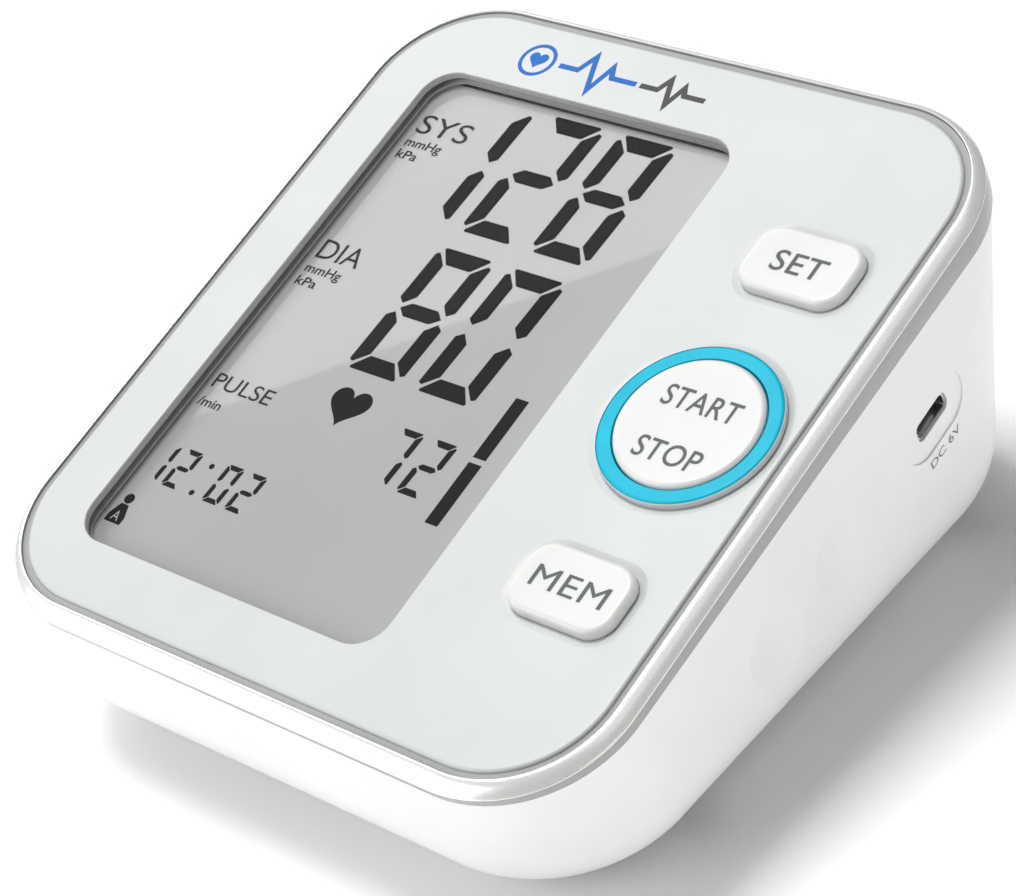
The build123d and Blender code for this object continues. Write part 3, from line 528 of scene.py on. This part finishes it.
def trim_profile():
    """Rings of the trim, from the inner wall over the rolled band and down the skirt."""
    opening = opening_outline(TRIM_PLAY)
    widest = trim_outline(0.0)
    rings = [[(x, y, parting_level(y) + TRIM_PLAY) for x, y in opening]]
    rings.append([(x, y, -EDGE_ROUND) for x, y in opening])
    cut = opening_outline(TRIM_PLAY + EDGE_ROUND * EDGE_CUT)
    rings.append([(x, y, -EDGE_ROUND * EDGE_CUT) for x, y in cut])
    crest = opening_outline(TRIM_PLAY + EDGE_ROUND)
    for step in range(BAND_STEPS + 1):
        share = step / BAND_STEPS
        line = mix_outlines(crest, widest, share * BAND_REACH)
        rings.append([(x, y, -TRIM_DROP * BAND_FALL * share ** BAND_CURVE) for x, y in line])
    for inset, drop in SHOULDER:
        rings.append([(x, y, -TRIM_DROP * drop) for x, y in trim_outline(inset)])
    levels = [parting_level(y) for _, y in widest]
    for lift, inset in ((FOOT_EDGE, 0.0), (0.0, FOOT_EDGE)):
        outline = trim_outline(inset + skirt_inset(-PARTING_DEPTH))
        rings.append([(x, y, level + lift) for (x, y), level in zip(outline, levels)])
    return rings


def trim_ring():
    """Rolled silver ring round the face, as one closed loop of rings, with the skirt in painted
    shade.
    """
    rings = [[on_face(*point) for point in ring] for ring in trim_profile()]
    rings.append(rings[0])
    bm = loft(rings)
    bmesh.ops.remove_doubles(bm, verts=bm.verts, dist=TRIM_WELD)
    bmesh.ops.recalc_face_normals(bm, faces=bm.faces)
    piece = add_piece("trim_band", bm, BAND_PAINTED_LIGHT, "housing")
    piece.data.materials.append(SKIRT_PAINTED_SHADE)
    # Faces below the band take the skirt's darker copy, which is painted shade.
    for polygon in piece.data.polygons:
        local = FACE.inverted() @ polygon.center
        if local.z < -SKIRT_START * TRIM_DROP * MM:
            polygon.material_index = 1
    piece.data.set_sharp_from_angle(angle=radians(SHARP_ANGLE))
    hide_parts("trim_ring")


trim_ring()


# ---- display segments -------------------------------------------------------------------------
SEGMENTS = {"0": "abcdef", "1": "bc", "2": "abged", "7": "abc", "8": "abcdefg"}
DRAWN_STROKE = 2.86              # the outlines below are drawn for this stroke
LEAN = 0.04                      # digits lean to the right by this share of their height
READINGS = (                     # text, right, top, width, height, pitch, stroke
    ("128", 4.02, 45.03, 11.0, 24.5, 13.85, 2.8),
    ("80", 2.51, 16.94, 11.0, 24.5, 13.85, 2.8),
    ("72", 4.42, -14.02, 4.4, 9.95, 6.4, 1.05),
    ("02", -21.33, -29.15, 3.3, 7.0, 4.7, 0.8),
    ("12", -34.6, -29.15, 3.3, 7.0, 4.5, 0.8),
)
COLON = ((-31.95, -30.55, 0.48), (-31.95, -35.6, 0.48))                 # x, y, radius
LEVEL_BARS = ((7.55, 9.93, -14.75, -3.59), (7.55, 9.93, -26.89, -15.7))   # left, right, low, high
PULSE_HEART = (-17.63, -14.2, 7.4, 6.9)                                 # x, y, width, height
USER_HEAD = (-41.25, -40.15, 0.9)                                       # x, y, radius
USER_TORSO = (-42.9, -39.6, -44.7, -41.2)                               # left, right, low, high
USER_NECK = 0.75                 # half the torso's width at its top
USER_SIDE = 1.3                  # height of the torso's upright sides


def segment_outlines(width, height, stroke):
    """Outlines of the seven segments of a digit, upright, from its lower left corner."""
    k = stroke / DRAWN_STROKE
    half = height / 2
    top = [
        (1.0 * k, height - 0.35 * k), (1.25 * k, height), (width - 1.25 * k, height),
        (width - 1.0 * k, height - 0.35 * k), (width - 3.2 * k, height - 3.0 * k),
        (3.2 * k, height - 3.0 * k),
    ]
    left = [
        (0.7 * k, height - 1.15 * k), (0, height - 1.5 * k), (0, half + 1.8 * k),
        (1.2 * k, half + 0.9 * k), (DRAWN_STROKE * k, half + 2.6 * k),
        (DRAWN_STROKE * k, height - 3.3 * k),
    ]
    middle = [
        (1.45 * k, half), (3.0 * k, half + 1.32 * k), (width - 3.0 * k, half + 1.32 * k),
        (width - 1.45 * k, half), (width - 3.0 * k, half - 1.32 * k), (3.0 * k, half - 1.32 * k),
    ]

    def mirrored(outline):
        return [(width - x, y) for x, y in outline]

    def flipped(outline):
        return [(x, height - y) for x, y in outline]

    return {
        "a": top, "b": mirrored(left), "c": flipped(mirrored(left)), "d": flipped(top),
        "e": flipped(left), "f": left, "g": middle,
    }


def digits(text, right, top, width, height, pitch, stroke):
    """Outlines of a row of digits whose last digit ends at right, top."""
    shapes = []
    parts = segment_outlines(width, height, stroke)
    for place, character in enumerate(reversed(text)):
        left = right - place * pitch - width
        for key in SEGMENTS[character]:
            shapes.append([(left + x - LEAN * (height - y), top - height + y)
                           for x, y in parts[key]])
    return shapes


def disc(x, y, radius, count=32):
    return [(x + radius * cos(2 * pi * k / count), y + radius * sin(2 * pi * k / count))
            for k in range(count)]


def heart_outline(x, y, width, height, count=64):
    """Heart from the usual sine curve, scaled to its box."""
    points = []
    for step in range(count):
        angle = 2 * pi * step / count
        across = 16 * sin(angle) ** 3
        up = 13 * cos(angle) - 5 * cos(2 * angle) - 2 * cos(3 * angle) - cos(4 * angle)
        points.append((x + across / 32 * width, y + (up + 2.5) / 29 * height))
    return points


def rectangle(left, right, low, high):
    return [(left, low), (right, low), (right, high), (left, high)]


def display_segments():
    """Lit segments: readings, clock, pulse mark, level bar and the user mark's head."""
    shapes = [shape for reading in READINGS for shape in digits(*reading)]
    shapes += [disc(*dot) for dot in COLON]
    shapes += [rectangle(*bar) for bar in LEVEL_BARS]
    shapes += [heart_outline(*PULSE_HEART), disc(*USER_HEAD)]
    thick_shapes("display_segments", shapes, LCD_TOP, SEGMENT)


display_segments()


# ---- lettering --------------------------------------------------------------------------------
def lettering(name, text, left, baseline, width, cap, level, material, body,
              place=on_face, weight=0.0, gap=1.0):
    """Printed word: fitted between a left edge and a width, with a given capital height."""
    curve = bpy.data.curves.new(name, "FONT")
    curve.body = text
    curve.size = 1.0
    curve.offset = weight
    curve.space_character = gap
    curve.resolution_u = 6
    holder = bpy.data.objects.new(name, curve)
    bpy.context.scene.collection.objects.link(holder)
    bpy.context.view_layer.update()
    mesh = bpy.data.meshes.new_from_object(holder)
    bpy.data.objects.remove(holder)
    xs = [vertex.co.x for vertex in mesh.vertices]
    low_x, high_x = min(xs), max(xs)
    scale_x = width / (high_x - low_x)
    scale_y = cap / FONT_CAP
    for vertex in mesh.vertices:
        x = left + (vertex.co.x - low_x) * scale_x
        y = baseline + vertex.co.y * scale_y
        vertex.co = place(x, y, level + INK)
    link_piece(name, mesh, material, body)


def user_mark():
    """Torso with a cut-out letter: the mark of the first user's memory."""
    left, right, low, high = USER_TORSO
    middle = (left + right) / 2
    torso = [(left, low), (right, low), (right, low + USER_SIDE), (middle + USER_NECK, high),
             (middle - USER_NECK, high), (left, low + USER_SIDE)]
    thick_shapes("user_mark", [torso], LCD_TOP, SEGMENT)
    lettering("user_letter", "A", middle - USER_NECK, low + 0.45, 2 * USER_NECK, 1.8,
              LCD_TOP + 1.5 * INK, DISPLAY, "housing")


def display_labels():
    """Printed names and units beside the readings."""
    rows = (                     # name, text, left, baseline, width, capital height
        ("label_sys", "SYS", -42.3, 35.5, 10.3, 4.0),
        ("label_sys_unit", "mmHg", -42.3, 32.65, 7.3, 1.75),
        ("label_sys_unit_2", "kPa", -42.3, 30.1, 4.15, 1.75),
        ("label_dia", "DIA", -42.4, 8.6, 8.65, 3.95),
        ("label_dia_unit", "mmHg", -42.4, 5.7, 7.3, 1.75),
        ("label_dia_unit_2", "kPa", -42.4, 3.1, 4.15, 1.75),
        ("label_pulse", "PULSE", -42.7, -18.2, 12.0, 2.9),
        ("label_pulse_unit", "/min", -42.8, -21.7, 4.65, 1.7),
    )
    for name, text, left, baseline, width, cap in rows:
        lettering(name, text, left, baseline, width, cap, LCD_TOP, LABEL_INK, "housing",
                  weight=UNIT_WEIGHT if cap < SMALL_CAP else 0.0)


def key_labels():
    """Lettering of the keys; extra stroke would break the sharp corners of an M."""
    rows = (                     # name, text, left, baseline, width, capital height, level, body
        ("print_set", "SET", 33.85, 26.5, 8.8, 3.85, KEY_TOP, "set_key"),
        ("print_memory", "MEM", 32.0, -31.9, 12.5, 3.7, KEY_TOP, "memory_key"),
        ("print_start", "START", 32.05, 0.75, 12.8, 3.7, ROUND_KEY_TOP, "start_stop_key"),
        ("print_stop", "STOP", 33.05, -8.2, 11.0, 3.7, ROUND_KEY_TOP, "start_stop_key"),
    )
    for name, text, left, baseline, width, cap, level, body in rows:
        lettering(name, text, left, baseline, width, cap, level, KEY_INK, body,
                  weight=0.0 if "M" in text else KEY_WEIGHT, gap=1.05)


user_mark()
display_labels()
key_labels()


# ---- window edge: sheets of painted shade -----------------------------------------------------
SHADE_SHEET_T = 0.09                   # thickness of the painted-shade sheet on the window's wall
SHADE_SHEET_GAP = 0.01                 # between that sheet and the window's wall
SHADE_SHEET_SPAN = (-0.12, -1.17)      # top and low, above the clear cover
SHADE_GASKET_SPAN = (-2.23, -2.57)     # painted-shade gasket, between the cover and the display
BORDER_SPAN = (-2.21, -2.25)     # pale painted-shade border under the cover
BORDER_GAP, BORDER_REACH = 0.02, 1.5    # it begins and ends this far outside the window


def window_outline(growth, rounding):
    """Outline of the window, let out by a growth, with its corner radius changed by rounding."""
    x, y, _ = LENS_CENTRE
    return rounded_outline(WINDOW_W + 2 * growth, WINDOW_H + 2 * growth, WINDOW_R + rounding, x, y)


def window_painted_shade():
    """Painted shade at the window's edge: pale border under the cover, wall liner, gasket below it.
    """
    strip("lens_border_painted_shade", window_outline(BORDER_REACH, BORDER_REACH),
          window_outline(BORDER_GAP, BORDER_GAP), *BORDER_SPAN, LENS_BORDER_SHADE, "frame_grey")
    outer = window_outline(-SHADE_SHEET_GAP, 0.0)
    inner = window_outline(-SHADE_SHEET_GAP - SHADE_SHEET_T, -SHADE_SHEET_T)
    strip("window_painted_shade", outer, inner, *SHADE_SHEET_SPAN, WINDOW_SHADE_GREY, "frame_grey")
    strip("window_gasket_painted_shade", outer, inner, *SHADE_GASKET_SPAN, WINDOW_SHADE_GREY, "frame_grey")


window_painted_shade()


# ---- printed marks ----------------------------------------------------------------------------
EMBLEM_SPOT = (-28.0, 52.6)
EMBLEM_OUTER, EMBLEM_INNER = 3.3, 2.65                  # radii of its ring
EMBLEM_STROKE = 0.95
EMBLEM_BEAT = ((-23.6, 52.6), (-19.9, 52.6), (-18.3, 55.9), (-15.9, 49.3), (-14.2, 54.6),
               (-13.2, 52.6), (-8.4, 52.6))
EMBLEM_TAIL = ((-7.6, 52.6), (-4.3, 52.6), (-3.1, 55.0), (-1.3, 50.2), (0.0, 54.1),
               (0.8, 52.6), (4.7, 52.6))
MITRE_LIMIT = 0.35               # keeps the corners of a stroke from running out too far
VOLTAGE_SPOT = (0.0, 29.5, 23.6)        # in the object's frame
OUTSIDE = 0.09                   # x beyond the right wall, metres


def stroke_outline(points, width):
    """Outline of a polyline of one width, with mitred corners."""
    left, right = [], []
    last = len(points) - 1
    for index, point in enumerate(points):
        before = Vector(points[max(index - 1, 0)])
        here = Vector(point)
        after = Vector(points[min(index + 1, last)])
        first = (here - before).normalized() if index else (after - here).normalized()
        second = (after - here).normalized() if index < last else first
        tangent = (first + second).normalized()
        normal = Vector((-tangent.y, tangent.x))
        reach = width / 2 / max(MITRE_LIMIT, normal.dot(Vector((-first.y, first.x))))
        left.append(tuple(here + normal * reach))
        right.append(tuple(here - normal * reach))
    return left + right[::-1]


def annulus(x, y, outer, inner, count=48):
    """Ring as a chain of small quads."""
    rims = list(zip(disc(x, y, inner, count), disc(x, y, outer, count)))
    return [[rims[k][0], rims[k][1], rims[(k + 1) % count][1], rims[(k + 1) % count][0]]
            for k in range(count)]


def emblem():
    """Plain pulse trace over the display: a blue ring and heart, a blue beat and a grey tail."""
    x, y = EMBLEM_SPOT
    marks = (
        ("emblem_ring", annulus(x, y, EMBLEM_OUTER, EMBLEM_INNER), EMBLEM_BLUE),
        ("emblem_heart", [heart_outline(x, y - 0.15, 3.5, 3.2)], EMBLEM_BLUE),
        ("emblem_beat", [stroke_outline(EMBLEM_BEAT, EMBLEM_STROKE)], EMBLEM_BLUE),
        ("emblem_tail", [stroke_outline(EMBLEM_TAIL, EMBLEM_STROKE)], EMBLEM_GREY),
    )
    for name, outlines, material in marks:
        thick_shapes(name, outlines, 0.0, material)


def wall_tree():
    """Ray-cast tree of the tub, for print that lies on its curved wall."""
    mesh = NODES["lower_housing"].data
    points = [vertex.co.copy() for vertex in mesh.vertices]
    return BVHTree.FromPolygons(points, [tuple(polygon.vertices) for polygon in mesh.polygons])


def side_print():
    """Supply voltage beside the power jack, along the slope of the face."""
    tree = wall_tree()
    centre = Vector(VOLTAGE_SPOT) * MM
    slope = radians(FACE_TILT)
    across = Vector((0.0, cos(slope), sin(slope)))
    up = Vector((0.0, -sin(slope), cos(slope)))

    def place(x, y, level):
        point = centre + (across * x + up * y) * MM
        start = Vector((OUTSIDE, point.y, point.z))
        hit, normal, _, _ = tree.ray_cast(start, Vector((-1, 0, 0)))
        return hit + normal * level * MM

    lettering("print_voltage", "DC 6V", -4.3, -0.55, 7.7, 1.45, 0.0, SIDE_INK, "housing",
              place)


emblem()
side_print()


# ---- rims and seals of the face ---------------------------------------------------------------
BEZEL_GAP, BEZEL_T = 0.01, 0.14         # its inner and outer wall, outside the light ring
BEZEL_LOW, BEZEL_TOP = -0.24, 0.78
BEZEL_BEVEL, BEZEL_LIP = 0.1, 0.05      # height of its bevel, and where that bevel ends
PANEL_SEAL_SPAN = (-0.5, -1.6)          # top and low
KEY_SEAL_SPAN = (-0.27, -1.2)
SEAL_LAP = 0.02                         # room on each side of the panel's seal


def ring_bezel():
    """White rim round the outside of the light ring."""
    profile = [(BEZEL_GAP, BEZEL_LOW), (BEZEL_T, BEZEL_LOW), (BEZEL_T, BEZEL_TOP - BEZEL_BEVEL),
               (BEZEL_LIP, BEZEL_TOP), (BEZEL_GAP, BEZEL_TOP)]
    levels = [(disc(*START_SPOT, RING_R + offset, 96), level)
              for offset, level in profile + profile[:1]]
    closed_ring("ring_bezel", levels, PANEL)


def face_seals():
    """Seal round the front panel, and one in the gap of each oblong key."""
    panel = rounded_outline(PANEL_W + 2 * SEAL_LAP, PANEL_H + 2 * SEAL_LAP, PANEL_R + SEAL_LAP)
    opening = rounded_outline(OPENING_W - 2 * SEAL_LAP, OPENING_H - 2 * SEAL_LAP,
                              OPENING_R - SEAL_LAP)
    strip("panel_seal", opening, panel, *PANEL_SEAL_SPAN, SEAL, "panel_white")
    for name, spot in (("set_seal", SET_SPOT), ("memory_seal", MEMORY_SPOT)):
        hole = rounded_outline(KEY_W + 2 * KEY_GAP - 0.01, KEY_H + 2 * KEY_GAP - 0.01,
                               KEY_R + KEY_GAP, *spot)
        bore = rounded_outline(KEY_W + 0.08, KEY_H + 0.08, KEY_R + 0.04, *spot)
        strip(name, hole, bore, *KEY_SEAL_SPAN, PANEL, "panel_white")


ring_bezel()
face_seals()


# ---- stage and light, in metres and watts -----------------------------------------------------
WORLD_POWER = 0.08
FLOOR_REACH = 3.0
OBJECT_SPOT = (0, 0, 0.02)
SOFTBOXES = (                    # name, place, target, width, height, power
    ("key_softbox", (-0.35, 0.1, 1.25), OBJECT_SPOT, 0.45, 0.45, 13.0),
    ("top_softbox", (0.25, 0.1, 1.25), (0.25, 0.1, 0.0), 1.5, 1.0, 2.2),
    ("front_softbox", (-0.75, -0.95, 0.6), OBJECT_SPOT, 1.2, 0.8, 11.0),
    ("right_softbox", (1.2, -0.2, 0.12), OBJECT_SPOT, 0.9, 0.2, 5.2),
)
CARD_EDGE = ((-1.1084, 0.1902, 1.1524), (-0.9010, 0.4321, 1.2593))
CARD_SHIFT = -0.1                # slides the card along its edge
CARD_W, CARD_H = 1.1, 0.8
CARD_POWER = 8.6


def make_floor():
    bm = bmesh.new()
    bmesh.ops.create_grid(bm, x_segments=8, y_segments=8, size=FLOOR_REACH)
    mesh = bpy.data.meshes.new("floor")
    bm.to_mesh(mesh)
    bm.free()
    floor = bpy.data.objects.new("floor", mesh)
    bpy.context.scene.collection.objects.link(floor)
    mesh.materials.append(plastic("floor_white", (0.95, 0.95, 0.95), 0.6, 0.05, mottling=0.004))


def area_light(name, frame_matrix, width, height, power):
    """Rectangular softbox; its matrix gives its middle and axes, and it shines along its -Z."""
    data = bpy.data.lights.new(name, "AREA")
    data.shape = "RECTANGLE"
    data.size = width
    data.size_y = height
    data.energy = power
    light = bpy.data.objects.new(name, data)
    bpy.context.scene.collection.objects.link(light)
    light.matrix_world = frame_matrix


def softbox(name, place, target, width, height, power):
    """Softbox that looks at a target with its width level."""
    place = Vector(place)
    turn = (Vector(target) - place).to_track_quat("-Z", "Y").to_matrix().to_4x4()
    area_light(name, Matrix.Translation(place) @ turn, width, height, power)


def sheen_card():
    """Softbox to the left and behind, with one straight edge that the display mirrors."""
    start, end = (Vector(point) for point in CARD_EDGE)
    along = (end - start).normalized()
    outward = (start + end).normalized()
    outward = (outward - along * outward.dot(along)).normalized()
    down = outward.cross(along)
    middle = (start + end) / 2 + down * CARD_H / 2 + along * CARD_SHIFT
    turn = Matrix((along, down, outward)).transposed().to_4x4()
    area_light("sheen_card", Matrix.Translation(middle) @ turn, CARD_W, CARD_H, CARD_POWER)


def make_lights():
    world = bpy.data.worlds.new("studio")
    world.use_nodes = True
    background = world.node_tree.nodes["Background"]
    set_values(background, {"Color": (1, 1, 1, 1), "Strength": WORLD_POWER})
    bpy.context.scene.world = world
    sheen_card()
    for row in SOFTBOXES:
        softbox(*row)


make_floor()
make_lights()
bpy.context.scene.view_settings.view_transform = "Standard"
